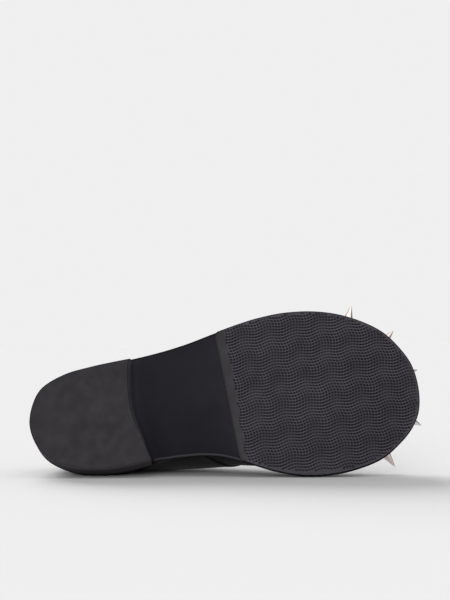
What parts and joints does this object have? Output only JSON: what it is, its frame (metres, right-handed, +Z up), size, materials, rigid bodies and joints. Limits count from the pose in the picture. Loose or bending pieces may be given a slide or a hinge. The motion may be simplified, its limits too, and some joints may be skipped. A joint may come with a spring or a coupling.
{
  "type": "studded derby shoe",
  "caption": "Right black leather derby shoe lying on its inner side, with open lacing, a moulded rubber sole and block heel, and cone studs standing out round the toe.",
  "frame": {"origin": "middle of the floor under the shoe as it lies on its inner side", "axes": "+X from heel to toe, -Y the way the sole faces, +Z up, towards the shoe's outer side"},
  "size_m": [0.296, 0.1206, 0.1263],
  "materials": {
    "sole_rubber": "matt moulded",
    "black_leather": "polished black",
    "insole_leather": "matt",
    "stud_metal": "polished",
    "eyelet_metal": "black satin",
    "lace_cord": "woven"
  },
  "bodies": {
    "root": {"outsole": "sole_rubber", "heel": "sole_rubber", "welt": "black_leather", "insole": "insole_leather", "upper": "black_leather", "tongue": "black_leather", "stud_1": "stud_metal", "stud_2": "stud_metal", "stud_3": "stud_metal", "stud_4": "stud_metal", "stud_5": "stud_metal", "eyelet_outer_1": "eyelet_metal", "eyelet_inner_1": "eyelet_metal", "lace_bar_1": "lace_cord", "eyelet_outer_2": "eyelet_metal", "eyelet_inner_2": "eyelet_metal", "lace_bar_2": "lace_cord", "eyelet_outer_3": "eyelet_metal", "eyelet_inner_3": "eyelet_metal", "lace_bar_3": "lace_cord", "eyelet_outer_4": "eyelet_metal", "eyelet_inner_4": "eyelet_metal", "lace_bar_4": "lace_cord"}
  },
  "joints": []
}
